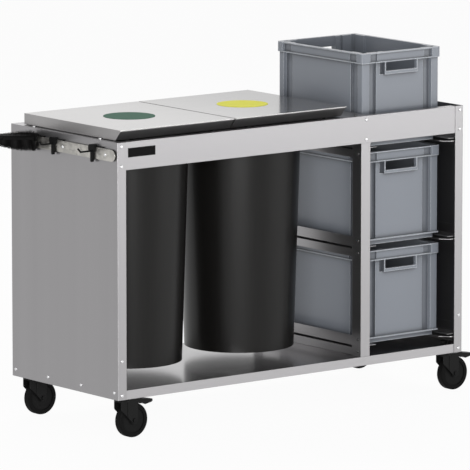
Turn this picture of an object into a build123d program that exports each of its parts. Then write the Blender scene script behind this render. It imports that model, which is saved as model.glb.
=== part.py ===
"""Cleaning cart: a folded sheet-steel frame on four casters, with two lidded bins hung from a deck,
a rack of three stacking crates, and a tool strip with clip hooks and a hand brush on the left end.

Millimetres, +Z up. The cart is drawn with X from the left end, Y from the front face and Z from the floor,
and every piece is then moved so that the origin lies on the floor under the middle of the overall box."""

from build123d import *
import math
import os

# Frame
BODY_WIDTH = 1277.0
BODY_DEPTH = 512.0
PANEL_HEIGHT = 738.5
SHEET = 1.5
BEND_RADIUS = 2.0
FLANGE_WIDTH = 30.0
TOP_FLANGE_WIDTH = 25.0
RAIL_HEIGHT = 80.0
FRONT_RETURN = 20.0
REAR_RETURN = 42.0
LIP_HEIGHT = 26.0
DOUBLER_TOP = 127.5
DOUBLER_WIDTH = 24.0
SEAM_GAP = 0.2

# Divider posts and crate rack
POST_WIDTH = 34.0
POST_WEB = 41.0
BOTTOM_LEVEL = 49.5
LEVEL_ROOM = 17.0
RUNNER_LEG = 23.0
LEDGE_UNDER_FOOT = 12.0
LEFT_CORNER_CUT = 64.0
RIGHT_CORNER_CUT = 34.0
GUIDE_LIFT = 7.0
GUIDE_LEG = 29.0
GUIDE_GAP = 0.7
RUNNER_SCREW_DROP = 9.0
GUIDE_SCREW_LIFT = 27.0
RUNNER_SCREW_IN = 17.0

# Stacking crates
CRATE_WIDTH = 300.0
CRATE_LENGTH = 400.0
CRATE_HEIGHT = 276.0
CRATE_POST_GAP = 45.0
CRATE_PANEL_GAP = 41.0
RIM_HEIGHT = 30.0
RIM_PROUD = 5.0
RIM_EDGE = 3.0
RIM_GROOVE_DEPTH = 8.0
CRATE_WALL = 3.0
CRATE_CORNER = 4.0
CRATE_EDGE = 1.2
FOOT_HEIGHT = 14.0
FOOT_INSET = 9.0
LEDGE_PROUD = 3.3
LEDGE_HEIGHT = 4.0
PANEL_RECESS = 4.0
GROOVE_DEPTH = 12.0
END_COLUMN = 27.0
END_GROOVE = 28.0
SIDE_COLUMN = 22.0
SIDE_GROOVE = 36.0
GRIP_WIDTH = 118.0
GRIP_HEIGHT = 27.0
GRIP_DROP = 30.5
GRIP_WALL = 4.0
GRIP_SILL = 9.0
GRIP_PROUD = 4.5
GRIP_POCKET = 12.0

# Bin deck and bins
DECK_PAST_POST = 37.0
DECK_FOLD = 25.0
BIN_SIDE_GAP = 9.8
BIN_TAPER = 0.031
BIN_WALL = 2.5
BIN_FOOT_RISE = 60.5
BIN_RIM_WIDTH = 12.0
BIN_RIM_HEIGHT = 9.0
BIN_HOLE_GAP = 2.0
BIN_BACK_SHIFT = 16.0

# Lids
LID_LEFT = 17.4
LID_POST_GAP = 53.6
LID_SEAM = 6.0
LID_FRONT = 6.0
LID_BACK_GAP = 43.0
LID_HEIGHT = 31.0
LID_GAP = 2.0
LID_UNDERCUT = 27.0
LID_LIP = 10.0
DISC_DIAMETER = 150.0
DISC_THICKNESS = 0.6
BUMPER_DIAMETER = 10.0
BUMPER_INSET = 60.0
REST_GAP = 0.2

# Lid hinges
KNUCKLE_RADIUS = 4.0
HINGE_PIN_RADIUS = 2.0
HINGE_LEAF = 1.5
HINGE_LEAF_WIDTH = 22.0
HINGE_LENGTH = 300.0
KNUCKLES = 5
KNUCKLE_GAP = 0.4
RUNNING_GAP = 0.05

# Screws
SCREW_HEAD_RADIUS = 4.5
SCREW_HEAD_HEIGHT = 2.6
SCREW_HEAD_ROUND = 1.8
SCREW_RADIUS = 2.4
SCREW_LENGTH = 10.0
SCREW_GAP = 0.05
FLANGE_SCREW_IN = 14.0
RAIL_SCREW_IN = 11.5
DOUBLER_SCREW_HEIGHT = 112.0
SIDE_SCREW_HEIGHT = 20.5
SIDE_SCREW_IN = 18.0
SIDE_SCREWS = 4
DECK_SCREW_IN = 12.0
DECK_SCREW_FRONT = 97.7
DECK_SCREW_POST_GAP = 12.0

# Blank plate on the front rail
PLATE_LEFT = 38.5
PLATE_WIDTH = 96.5
PLATE_HEIGHT = 26.5
PLATE_DROP = 17.7
PLATE_THICKNESS = 0.8

# Tool strip and hooks on the left panel
STRIP_HEIGHT = 34.0
STRIP_THICKNESS = 2.0
STRIP_DROP = 21.0
STRIP_FRONT = 6.0
STRIP_REAR = 14.0
STRIP_STAND_OFF = 3.5
SPACER_RADIUS = 6.0
STRIP_SCREW_IN = 44.0
STRIP_SCREWS = 3
FRONT_HOOK_PAST = 57.0
MIDDLE_HOOK_PAST = 41.5
BRUSH_FROM_END = 111.0
CLIP_WIDTH = 28.0
CLIP_HEIGHT = 22.0
CLIP_ROUND = 8.0
CLIP_THICKNESS = 7.5
CLIP_TOP = 6.7
CLIP_BACK = 2.5
CLIP_BACK_DROP = 12.0
CLIP_LEG_WIDTH = 8.5
CLIP_LEG_DROP = 9.4
CLIP_FOOT = 3.0
CLIP_TAIL = 30.0
CLIP_TAIL_HEIGHT = 3.0
CLIP_GAP = 0.3
ROD_RADIUS = 2.6
ROD_LENGTH = 36.5
ROD_TIP = 14.0
ROD_DROP = 12.0

# Hand brush
BRUSH_TILT = 4.5
BRUSH_GAP = 0.3
PEG_LENGTH = 42.0
PEG_RADIUS = 2.0
PEG_DROP = 2.0
BLOCK_LENGTH = 118.0
BLOCK_WIDTH = 42.0
BLOCK_HEIGHT = 14.0
BLOCK_EDGE = 3.0
HANDLE_LENGTH = 100.0
HANDLE_WIDTH = 24.0
HANDLE_HEIGHT = 23.0
HANDLE_DROP = 5.0
NECK_LENGTH = 26.0
BRISTLE_LENGTH = 30.0
BRISTLE_SIDE = 1.3
BRISTLE_ROWS = 12
BRISTLE_COLUMNS = 34
BRISTLE_SPLAY = 9.0
BRISTLE_MARGIN = 3.0
BRISTLE_SLICE = 1.2
BRISTLE_UNEVEN = 1.4
BRISTLE_RIPPLE_ALONG = 2.1
BRISTLE_RIPPLE_ACROSS = 1.7
BRISTLE_TRIM = 15.0
BRISTLE_TRIM_LENGTH = 70.0

# Casters
CASTER_HEIGHT = 117.5
CASTER_IN_X = 40.0
CASTER_IN_Y = 36.0
CASTER_TRAIL = 33.0
WHEEL_RADIUS = 50.0
WHEEL_CORE_RADIUS = 37.0
TYRE_WIDTH = 25.0
TYRE_ROUND = 4.0
CORE_WIDTH = 20.0
HUB_RADIUS = 13.0
FORK_SIDE_GAP = 2.5
FORK_PLATE = 2.5
HUB_GAP = 0.3
AXLE_RADIUS = 5.0
AXLE_HEAD = 12.0
AXLE_HEAD_HEIGHT = 3.0
BEARING_RADIUS = 21.0
BEARING_HEIGHT = 6.0
BEARING_NECK = 14.0
CROWN_RADIUS = 22.0
CROWN_THICKNESS = 4.5
CROWN_BRIDGE = 46.0
TURN_GAP = 0.3
BOLT_RADIUS = 6.0
BOLT_HEAD = 19.0
BOLT_HEAD_HEIGHT = 7.0
BOLT_NUT_HEIGHT = 4.5
LEG_EYE = 10.0
LEG_TOP_ROUND = 5.0
LEG_REAR = 15.0
LEG_HEEL_DROP = 24.0
LEG_HEEL_ROUND = 8.0
RIB_PLACE = 9.5
RIB_RADIUS = 2.4
RIB_FOOT = 13.0
PEDAL_PIVOT_OUT = 20.0
PEDAL_PIVOT_UP = 55.0
PEDAL_PIN_RADIUS = 3.0
PEDAL_HUB_RADIUS = 6.0
PEDAL_EAR = 8.0
PEDAL_REACH = 106.0
PEDAL_TIP_DROP = 2.0
PEDAL_LEAF = 4.0
PEDAL_BELLY = 13.0
PEDAL_BELLY_OUT = 20.0
PEDAL_WIDTH = 29.0
PEDAL_CAM_RADIUS = 2.0

# Levels and places worked out from the sizes above
FRAME_FOOT = CASTER_HEIGHT
BEND_CLEAR = SHEET + BEND_RADIUS
TRAY_TOP = FRAME_FOOT + LIP_HEIGHT
FRAME_TOP = FRAME_FOOT + PANEL_HEIGHT
DECK_TOP = FRAME_TOP - SHEET
RAIL_FOOT = FRAME_TOP - RAIL_HEIGHT
LID_FOOT = FRAME_TOP + LID_GAP
LID_TOP = LID_FOOT + LID_HEIGHT
RIGHT_INNER = BODY_WIDTH - SHEET
POST_LEFT = BODY_WIDTH - CRATE_PANEL_GAP - CRATE_WIDTH - CRATE_POST_GAP
BAY_MIDDLE = POST_LEFT + CRATE_POST_GAP + CRATE_WIDTH / 2
LEVEL_PITCH = CRATE_HEIGHT + LEVEL_ROOM
LEVEL_TOPS = tuple(BOTTOM_LEVEL + step * LEVEL_PITCH for step in (2, 1, 0))
CRATE_MIDDLE_Y = BODY_DEPTH / 2
CRATE_BODY_WIDTH = CRATE_WIDTH - 2 * RIM_PROUD
CRATE_BODY_LENGTH = CRATE_LENGTH - 2 * RIM_PROUD
FOOT_WIDTH = CRATE_BODY_WIDTH - 2 * FOOT_INSET
FOOT_LENGTH = CRATE_BODY_LENGTH - 2 * FOOT_INSET
LEDGE_HALF = FOOT_WIDTH / 2 - LEDGE_UNDER_FOOT
GUIDE_HALF = FOOT_WIDTH / 2 + GUIDE_GAP
RIM_FOOT = CRATE_HEIGHT - RIM_HEIGHT
GRIP_FOOT = CRATE_HEIGHT - GRIP_DROP - GRIP_HEIGHT - GRIP_SILL
LID_WIDTH = (POST_LEFT - LID_POST_GAP - LID_SEAM - LID_LEFT) / 2
LID_BACK = BODY_DEPTH - LID_BACK_GAP
LID_LEFTS = (LID_LEFT, LID_LEFT + LID_WIDTH + LID_SEAM)
LID_MIDDLES = tuple(left + LID_WIDTH / 2 for left in LID_LEFTS)
LID_MIDDLE_Y = (LID_FRONT + LID_BACK) / 2
BIN_MIDDLE_Y = LID_MIDDLE_Y + BIN_BACK_SHIFT
BIN_HANG = PANEL_HEIGHT - SHEET - BIN_FOOT_RISE
BIN_RIM_RADIUS = min(LID_WIDTH / 2, BODY_DEPTH - REAR_RETURN - BIN_MIDDLE_Y) - BIN_SIDE_GAP
BIN_TOP_RADIUS = BIN_RIM_RADIUS - BIN_RIM_WIDTH
BIN_FOOT_RADIUS = BIN_TOP_RADIUS - BIN_TAPER * BIN_HANG
DECK_END = POST_LEFT + DECK_PAST_POST
HINGE_Y = LID_BACK + KNUCKLE_RADIUS + KNUCKLE_GAP
HINGE_Z = FRAME_TOP + KNUCKLE_RADIUS + KNUCKLE_GAP
STRIP_TOP = FRAME_TOP - STRIP_DROP
STRIP_FACE = STRIP_STAND_OFF + STRIP_THICKNESS
STRIP_LENGTH = BODY_DEPTH - STRIP_FRONT - STRIP_REAR
HOOK_PLACES = (
    STRIP_FRONT + STRIP_SCREW_IN + FRONT_HOOK_PAST,
    STRIP_FRONT + STRIP_LENGTH / 2 + MIDDLE_HOOK_PAST,
)
BRUSH_PLACE = STRIP_FRONT + STRIP_LENGTH - BRUSH_FROM_END
ROD_HEIGHT = STRIP_TOP - ROD_DROP
PEG_HEIGHT = STRIP_TOP - PEG_DROP
CLIP_FACE = STRIP_FACE + CLIP_GAP + CLIP_THICKNESS
CASTER_PLACES = {
    "front_left": (CASTER_IN_X, CASTER_IN_Y),
    "front_right": (BODY_WIDTH - CASTER_IN_X, CASTER_IN_Y),
    "rear_left": (CASTER_IN_X, BODY_DEPTH - CASTER_IN_Y),
    "rear_right": (BODY_WIDTH - CASTER_IN_X, BODY_DEPTH - CASTER_IN_Y),
}
BRAKED = ("front_left", "front_right")
AXLE_HEIGHT = WHEEL_RADIUS
LEG_INNER = TYRE_WIDTH / 2 + FORK_SIDE_GAP
LEG_OUTER = LEG_INNER + FORK_PLATE
CROWN_TOP = FRAME_FOOT - BEARING_HEIGHT - TURN_GAP
CROWN_FOOT = CROWN_TOP - CROWN_THICKNESS

LOW = (Align.MIN, Align.MIN, Align.MIN)
RISING = (Align.CENTER, Align.CENTER, Align.MIN)
HANGING = (Align.CENTER, Align.CENTER, Align.MAX)
FACE_FRONT = Rot(90, 0, 0)
FACE_REAR = Rot(-90, 0, 0)
FACE_LEFT = Rot(0, -90, 0)
FACE_RIGHT = Rot(0, 90, 0)
FACE_UP = Rot(0, 0, 0)


def block(x, y, z):
    """A box from its low and high limits on each axis."""
    return Pos(x[0], y[0], z[0]) * Box(x[1] - x[0], y[1] - y[0], z[1] - z[0], align=LOW)


def upright(outline, foot, top):
    """An outline in plan raised from one height to another."""
    return Pos(0, 0, foot) * extrude(outline, top - foot)


def end_on(outline, left, right):
    """An outline drawn in Y and Z, carried along X."""
    return Pos(left, 0, 0) * (Plane.YZ * extrude(outline, right - left))


def side_on(outline, middle, width):
    """An outline drawn in X and Z, given a width along Y about its middle."""
    return Pos(0, middle + width / 2, 0) * (Plane.XZ * extrude(outline, width))


def across(radius, x, z, y):
    """A round bar along Y between two limits."""
    bar = Cylinder(radius, y[1] - y[0], align=RISING)
    return Pos(x, y[0], z) * Rot(-90, 0, 0) * bar


def standing(radius, x, y, z):
    """A round bar along Z between two limits."""
    return Pos(x, y, z[0]) * Cylinder(radius, z[1] - z[0], align=RISING)


def lengthwise(radius, x, y, z):
    """A round bar along X between two limits."""
    bar = Cylinder(radius, x[1] - x[0], align=RISING)
    return Pos(x[0], y, z) * Rot(0, 90, 0) * bar


def mirror_y(part):
    """The same piece on the rear of the cart."""
    return mirror(part, about=Plane.XZ.offset(-BODY_DEPTH / 2))


def spread(first, last, count):
    """Evenly spaced places from the first to the last."""
    return [first + (last - first) * i / (count - 1) for i in range(count)]


# Screw seats: a point on the outer sheet and the way the head faces
def front_seats():
    """Dome screws on the front face: flanges into rail, lip and doublers, and rail into post."""
    rail = (RAIL_FOOT + RAIL_SCREW_IN, FRAME_TOP - RAIL_SCREW_IN)
    low = (FRAME_FOOT + DOUBLER_SCREW_HEIGHT, FRAME_FOOT + LIP_HEIGHT / 2)
    sides = (FLANGE_SCREW_IN, BODY_WIDTH - FLANGE_SCREW_IN)
    seats = [(x, 0, z) for x in sides for z in rail + low]
    return seats + [(POST_LEFT + POST_WIDTH / 2, SHEET, z) for z in rail]


def side_seats():
    """Screws through the foot of each end panel into the tray's end lips."""
    height = FRAME_FOOT + SIDE_SCREW_HEIGHT
    return [(y, height) for y in spread(SIDE_SCREW_IN, BODY_DEPTH - SIDE_SCREW_IN, SIDE_SCREWS)]


def rack_seats():
    """Screws that hold each runner and guide near its front and rear end."""
    heights = []
    for top in LEVEL_TOPS:
        heights += [FRAME_FOOT + top - RUNNER_SCREW_DROP, FRAME_FOOT + top + GUIDE_SCREW_LIFT]
    places = (RUNNER_SCREW_IN, BODY_DEPTH - RUNNER_SCREW_IN)
    return [(y, z) for y in places for z in heights]


def deck_seats():
    """Screws that hold the deck up under the left panel's top flange and the rails' returns."""
    near_post = POST_LEFT - DECK_SCREW_POST_GAP
    front = 2 * SHEET + DECK_SCREW_IN
    left = [(DECK_SCREW_IN, y) for y in (DECK_SCREW_FRONT, BODY_DEPTH - DECK_SCREW_FRONT)]
    return left + [(near_post, y) for y in (front, BODY_DEPTH - front)]


def strip_places():
    """Places along the tool strip of its screws and spacers."""
    return spread(STRIP_FRONT + STRIP_SCREW_IN, STRIP_FRONT + STRIP_LENGTH - STRIP_SCREW_IN, STRIP_SCREWS)


def all_seats():
    """Every screw's seat and the turn that faces its head outwards."""
    seats = [(Pos(x, y, z), FACE_FRONT) for x, y, z in front_seats()]
    seats += [(Pos(x, BODY_DEPTH - y, z), FACE_REAR) for x, y, z in front_seats()]
    for y, z in side_seats():
        seats += [(Pos(0, y, z), FACE_LEFT), (Pos(BODY_WIDTH, y, z), FACE_RIGHT)]
    for y, z in rack_seats():
        seats += [(Pos(POST_LEFT, y, z), FACE_LEFT), (Pos(BODY_WIDTH, y, z), FACE_RIGHT)]
    seats += [(Pos(x, y, FRAME_TOP), FACE_UP) for x, y in deck_seats()]
    strip_middle = STRIP_TOP - STRIP_HEIGHT / 2
    return seats + [(Pos(-STRIP_FACE, y, strip_middle), FACE_LEFT) for y in strip_places()]


def screw():
    """A dome-headed sheet screw, head up, seated at the origin."""
    head = Cylinder(SCREW_HEAD_RADIUS, SCREW_HEAD_HEIGHT, align=RISING)
    head = fillet(head.edges().sort_by(Axis.Z)[-1], SCREW_HEAD_ROUND)
    shank = Cylinder(SCREW_RADIUS, SCREW_LENGTH, align=HANGING)
    return head + shank


def screw_hole():
    """The clearance hole that a screw's shank passes through."""
    return Cylinder(SCREW_RADIUS + SCREW_GAP, 2 * (SCREW_LENGTH + STRIP_FACE))


def drilled(part, reach):
    """A sheet piece with a hole at every screw seat that lies within reach of it."""
    box = part.bounding_box()
    holes = []
    for place, turn in all_seats():
        p = place.position
        inside = all(
            low - reach <= value <= high + reach
            for low, value, high in zip(tuple(box.min), tuple(p), tuple(box.max))
        )
        if inside:
            holes.append(place * turn * screw_hole())
    return part - holes


# End panels, rails and tray
def side_panel():
    """An end panel as it stands at the left: one sheet folded to a C in plan."""
    half = SHEET / 2
    middle_line = FilletPolyline(
        (FLANGE_WIDTH, half),
        (half, half),
        (half, BODY_DEPTH - half),
        (FLANGE_WIDTH, BODY_DEPTH - half),
        radius=BEND_RADIUS,
    )
    return upright(trace(middle_line, SHEET), FRAME_FOOT, FRAME_TOP)


def left_side_panel():
    """The end panel that carries the deck on an inward top flange."""
    inside = (BEND_CLEAR, BODY_DEPTH - BEND_CLEAR)
    flange = block((0, TOP_FLANGE_WIDTH), inside, (DECK_TOP, FRAME_TOP))
    return drilled(side_panel() + flange, STRIP_FACE + SEAM_GAP)


def right_side_panel():
    """The end panel beside the crates, with no top flange."""
    return drilled(mirror(side_panel(), about=Plane.YZ.offset(BODY_WIDTH / 2)), SHEET)


def top_rail(depth):
    """A rail behind the front flanges: an upright face with a top return folded inwards."""
    ends = (BEND_CLEAR, BODY_WIDTH - BEND_CLEAR)
    face = block(ends, (SHEET, 2 * SHEET), (RAIL_FOOT, FRAME_TOP))
    returned = (TOP_FLANGE_WIDTH + SEAM_GAP, RIGHT_INNER - FLANGE_WIDTH)
    fold = block(returned, (SHEET, SHEET + depth), (DECK_TOP, FRAME_TOP))
    return face + fold


def front_top_rail():
    """The front rail above the bins and the crate rack."""
    return drilled(top_rail(FRONT_RETURN), 2 * SHEET)


def rear_top_rail():
    """The rear rail, with a wider return that carries the lid hinges."""
    return drilled(mirror_y(top_rail(REAR_RETURN)), 2 * SHEET)


def base_tray():
    """The floor sheet, its lip folded down all round and its corners cut clear of the panels' bends."""
    width = (BEND_CLEAR, BODY_WIDTH - BEND_CLEAR)
    depth = (BEND_CLEAR, BODY_DEPTH - BEND_CLEAR)
    floor = (TRAY_TOP - SHEET, TRAY_TOP)
    lip = (FRAME_FOOT, TRAY_TOP)
    tray = block(width, (SHEET, BODY_DEPTH - SHEET), floor)
    tray += block((SHEET, RIGHT_INNER), depth, floor)
    front = block(width, (SHEET, 2 * SHEET), lip)
    tray += [front, mirror_y(front)]
    tray += [block((SHEET, 2 * SHEET), depth, lip), block((RIGHT_INNER - SHEET, RIGHT_INNER), depth, lip)]
    tray = drilled(tray, SHEET)
    bolt_holes = [
        standing(BOLT_RADIUS + RUNNING_GAP, x, y, (TRAY_TOP - 2 * SHEET, TRAY_TOP + SHEET))
        for x, y in CASTER_PLACES.values()
    ]
    return tray - bolt_holes


def corner_doublers():
    """Four flat plates that double the flanges above the tray's corners."""
    height = (TRAY_TOP + SEAM_GAP, FRAME_FOOT + DOUBLER_TOP)
    left = block((BEND_CLEAR, BEND_CLEAR + DOUBLER_WIDTH), (SHEET, 2 * SHEET), height)
    right = mirror(left, about=Plane.YZ.offset(BODY_WIDTH / 2))
    return [drilled(plate, SHEET) for plate in (left, right, mirror_y(left), mirror_y(right))]


# Divider posts and crate rack
def front_divider_post():
    """An angle post that stands on the tray behind the rail: a flange to the front and a web to the rear."""
    height = (TRAY_TOP, DECK_TOP - SHEET - SEAM_GAP)
    front = 2 * SHEET
    flange = block((POST_LEFT, POST_LEFT + POST_WIDTH), (front, front + SHEET), height)
    web = block((POST_LEFT, POST_LEFT + SHEET), (front, front + POST_WEB), height)
    return drilled(flange + web, 2 * SHEET)


def rear_divider_post():
    """The same post at the rear."""
    return mirror_y(front_divider_post())


def rack_span():
    """How far runners and guides reach from front to rear, between the posts' flanges."""
    end = 3 * SHEET + SEAM_GAP
    return (end, BODY_DEPTH - end)


def angle_bar(wall, inner_edge, shelf, leg):
    """An angle along Y: a shelf from the wall to its inner edge, and a leg flat on the wall."""
    inward = 1 if inner_edge > wall else -1
    reach = tuple(sorted((wall, inner_edge)))
    thickness = tuple(sorted((wall, wall + inward * SHEET)))
    return block(reach, rack_span(), shelf) + block(thickness, rack_span(), leg)


def runner(wall, inner_edge, top, cut):
    """A runner that carries a crate's foot, with its front and rear inner corners cut off."""
    bar = angle_bar(wall, inner_edge, (top - SHEET, top), (top - RUNNER_LEG, top))
    corners = [
        Pos(inner_edge, y, top) * Rot(0, 0, 45) * Box(cut, cut, 4 * SHEET)
        for y in rack_span()
    ]
    return drilled(bar - corners, 2 * SHEET)


def guide(wall, inner_edge, top):
    """A guide above the runner, which keeps the crate's foot in the middle of its bay."""
    foot = top + GUIDE_LIFT
    bar = angle_bar(wall, inner_edge, (foot, foot + SHEET), (foot, foot + GUIDE_LEG))
    return drilled(bar, 2 * SHEET)


def rack_levels():
    """Heights of the runners' top faces above the floor."""
    return [FRAME_FOOT + top for top in LEVEL_TOPS]


def crate_runners_left():
    """The three runners on the divider posts."""
    edge = BAY_MIDDLE - LEDGE_HALF
    return [runner(POST_LEFT + SHEET, edge, top, LEFT_CORNER_CUT) for top in rack_levels()]


def crate_runners_right():
    """The three runners on the right end panel."""
    edge = BAY_MIDDLE + LEDGE_HALF
    return [runner(RIGHT_INNER, edge, top, RIGHT_CORNER_CUT) for top in rack_levels()]


def crate_guides_left():
    """The three guides on the divider posts."""
    return [guide(POST_LEFT + SHEET, BAY_MIDDLE - GUIDE_HALF, top) for top in rack_levels()]


def crate_guides_right():
    """The three guides on the right end panel."""
    return [guide(RIGHT_INNER, BAY_MIDDLE + GUIDE_HALF, top) for top in rack_levels()]


# Stacking crates
def crate_sides():
    """The four walls in turn: length along the wall, distance out to it, column, groove and turn."""
    ends = (CRATE_BODY_WIDTH, CRATE_BODY_LENGTH / 2, END_COLUMN, END_GROOVE)
    sides = (CRATE_BODY_LENGTH, CRATE_BODY_WIDTH / 2, SIDE_COLUMN, SIDE_GROOVE)
    return [ends + (0,), sides + (90,), ends + (180,), sides + (270,)]


def crate_outline(proud, groove_depth):
    """A wall in plan: corner columns, a groove beside each, and a panel set back between the grooves."""
    outline = Rectangle(CRATE_BODY_WIDTH + 2 * proud, CRATE_BODY_LENGTH + 2 * proud)
    for span, out, column, groove, turn in crate_sides():
        wall = -out - proud
        place = span / 2 - column - groove / 2
        cuts = [Pos(side * place, wall) * Rectangle(groove, 2 * groove_depth) for side in (-1, 1)]
        cuts.append(Pos(0, wall) * Rectangle(span - 2 * (column + groove), 2 * PANEL_RECESS))
        outline -= [Rot(0, 0, turn) * cut for cut in cuts]
    outline = fillet(outer_last(outline)[:-4], CRATE_EDGE)
    return fillet(outer_last(outline)[-4:], CRATE_CORNER + proud)


def outer_last(outline):
    """An outline's corner points, with the four outermost at the end."""
    return outline.vertices().sort_by(lambda point: abs(point.X) + abs(point.Y))


def crate_hollow():
    """The space inside a crate, which the backs of the grooves and grip pockets stand into."""
    skin = PANEL_RECESS + CRATE_WALL
    plan = RectangleRounded(CRATE_BODY_WIDTH - 2 * skin, CRATE_BODY_LENGTH - 2 * skin, CRATE_CORNER)
    hollow = upright(plan, FOOT_HEIGHT + CRATE_WALL, CRATE_HEIGHT)
    for span, out, column, groove, turn in crate_sides():
        start = span / 2 - column + CRATE_WALL
        end = start - groove - 2 * CRATE_WALL
        back = (-out, -out + GROOVE_DEPTH + CRATE_WALL)
        for side in ((-start, -end), (end, start)):
            hollow -= Rot(0, 0, turn) * block(side, back, (FOOT_HEIGHT, CRATE_HEIGHT))
    pocket = grip_pocket()
    behind = block(
        (pocket[0] - CRATE_WALL, pocket[1] + CRATE_WALL),
        (-CRATE_BODY_LENGTH / 2, GROOVE_DEPTH + CRATE_WALL - CRATE_BODY_LENGTH / 2),
        (GRIP_FOOT - CRATE_WALL, CRATE_HEIGHT),
    )
    return hollow - [behind, Rot(0, 0, 180) * behind]


def grip_pocket():
    """Where the pocket beside a grip's collar begins and ends along the wall."""
    collar = -GRIP_WIDTH / 2 - GRIP_WALL
    return (collar - GRIP_POCKET, collar)


def crate():
    """A stacking crate at the origin: foot, base ledge, grooved walls, rim and grips."""
    body = upright(crate_outline(0, GROOVE_DEPTH), FOOT_HEIGHT, RIM_FOOT)
    body += upright(crate_outline(RIM_PROUD, RIM_GROOVE_DEPTH), RIM_FOOT, CRATE_HEIGHT)
    rim = RectangleRounded(CRATE_WIDTH, CRATE_LENGTH, CRATE_CORNER + RIM_PROUD)
    body += upright(rim, RIM_FOOT, RIM_FOOT + RIM_EDGE)
    body += upright(rim, CRATE_HEIGHT - RIM_EDGE, CRATE_HEIGHT)
    wide = CRATE_BODY_WIDTH + 2 * LEDGE_PROUD
    long = CRATE_BODY_LENGTH + 2 * LEDGE_PROUD
    body += upright(RectangleRounded(wide, long, CRATE_CORNER), FOOT_HEIGHT, FOOT_HEIGHT + LEDGE_HEIGHT)
    front = -CRATE_BODY_LENGTH / 2
    half = GRIP_WIDTH / 2 + GRIP_WALL
    inside = front + PANEL_RECESS + CRATE_WALL
    collar = block((-half, half), (front - GRIP_PROUD, inside), (GRIP_FOOT, RIM_FOOT))
    pocket = block(grip_pocket(), (front, front + GROOVE_DEPTH), (GRIP_FOOT, RIM_FOOT))
    body += [collar, Rot(0, 0, 180) * collar]
    body -= [pocket, Rot(0, 0, 180) * pocket]
    body -= crate_hollow()
    foot = upright(RectangleRounded(FOOT_WIDTH, FOOT_LENGTH, CRATE_CORNER), 0, FOOT_HEIGHT)
    under = RectangleRounded(FOOT_WIDTH - 2 * CRATE_WALL, FOOT_LENGTH - 2 * CRATE_WALL, CRATE_CORNER)
    foot -= upright(under, 0, FOOT_HEIGHT)
    opening = RectangleRounded(GRIP_WIDTH, GRIP_HEIGHT, CRATE_WALL)
    hole = Rot(90, 0, 0) * extrude(opening, CRATE_LENGTH, both=True)
    return body + foot - Pos(0, 0, GRIP_FOOT + GRIP_SILL + GRIP_HEIGHT / 2) * hole


# Bin deck, bins and lids
def bin_deck():
    """The deck that the bins hang from: a sheet with two round holes and a fold at its right end."""
    inside = (2 * SHEET, BODY_DEPTH - 2 * SHEET)
    deck = block((SHEET, DECK_END), inside, (DECK_TOP - SHEET, DECK_TOP))
    between_posts = (3 * SHEET + SEAM_GAP, BODY_DEPTH - 3 * SHEET - SEAM_GAP)
    deck += block((DECK_END - SHEET, DECK_END), between_posts, (DECK_TOP - DECK_FOLD, DECK_TOP))
    hole_radius = BIN_TOP_RADIUS + BIN_HOLE_GAP
    for x in LID_MIDDLES:
        deck -= standing(hole_radius, x, BIN_MIDDLE_Y, (DECK_TOP - 2 * SHEET, DECK_TOP + SHEET))
    return drilled(deck, 2 * SHEET)


def hanging_bin(x):
    """A tapered round bin turned from one wall, hung by the collar of its rim on the deck."""
    foot = DECK_TOP - BIN_HANG
    top = DECK_TOP + BIN_RIM_HEIGHT
    outer_top = BIN_TOP_RADIUS + BIN_TAPER * BIN_RIM_HEIGHT
    profile = Polyline(
        (0, foot),
        (BIN_FOOT_RADIUS, foot),
        (BIN_TOP_RADIUS, DECK_TOP),
        (BIN_RIM_RADIUS, DECK_TOP),
        (BIN_RIM_RADIUS, top),
        (outer_top - BIN_WALL, top),
        (BIN_FOOT_RADIUS - BIN_WALL, foot + BIN_WALL),
        (0, foot + BIN_WALL),
        close=True,
    )
    turned = revolve(Plane.XZ * make_face(profile), Axis.Z)
    return Pos(x, BIN_MIDDLE_Y, 0) * turned


def lid(left):
    """A lid folded from one sheet: an undercut front with a lip, and flat ends that close it."""
    half = SHEET / 2
    toe = LID_FRONT + LID_UNDERCUT
    middle_line = Polyline(
        (LID_BACK - half, LID_FOOT),
        (LID_BACK - half, LID_TOP - half),
        (LID_FRONT + SHEET, LID_TOP - half),
        (toe + half, LID_FOOT + half),
        (toe + LID_LIP, LID_FOOT + half),
    )
    outline = Polyline(
        (LID_BACK, LID_FOOT),
        (LID_BACK, LID_TOP),
        (LID_FRONT, LID_TOP),
        (toe, LID_FOOT),
        close=True,
    )
    end = make_face(outline)
    right = left + LID_WIDTH
    shell = end_on(trace(middle_line, SHEET), left + half, right - half)
    shell += end_on(end, left, left + SHEET)
    shell += end_on(end, right - SHEET, right)
    return shell & end_on(end, left, right)


def lid_disc(x):
    """The coloured disc on a lid's top."""
    return standing(DISC_DIAMETER / 2, x, LID_MIDDLE_Y, (LID_TOP, LID_TOP + DISC_THICKNESS))


def lid_bumpers():
    """Rubber bumpers on the deck, under the lip of each lid."""
    y = LID_FRONT + LID_UNDERCUT + LID_LIP / 2
    places = [x + side * (LID_WIDTH / 2 - BUMPER_INSET) for x in LID_MIDDLES for side in (-1, 1)]
    return [standing(BUMPER_DIAMETER / 2, x, y, (DECK_TOP, LID_FOOT - REST_GAP)) for x in places]


# Lid hinges
def knuckle_spans(x, own):
    """Lengths of barrel along X: every second knuckle, counted from the first or the second one."""
    step = HINGE_LENGTH / KNUCKLES
    start = x - HINGE_LENGTH / 2
    trim = KNUCKLE_GAP / 2
    return [(start + i * step + trim, start + (i + 1) * step - trim) for i in range(own, KNUCKLES, 2)]


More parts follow.
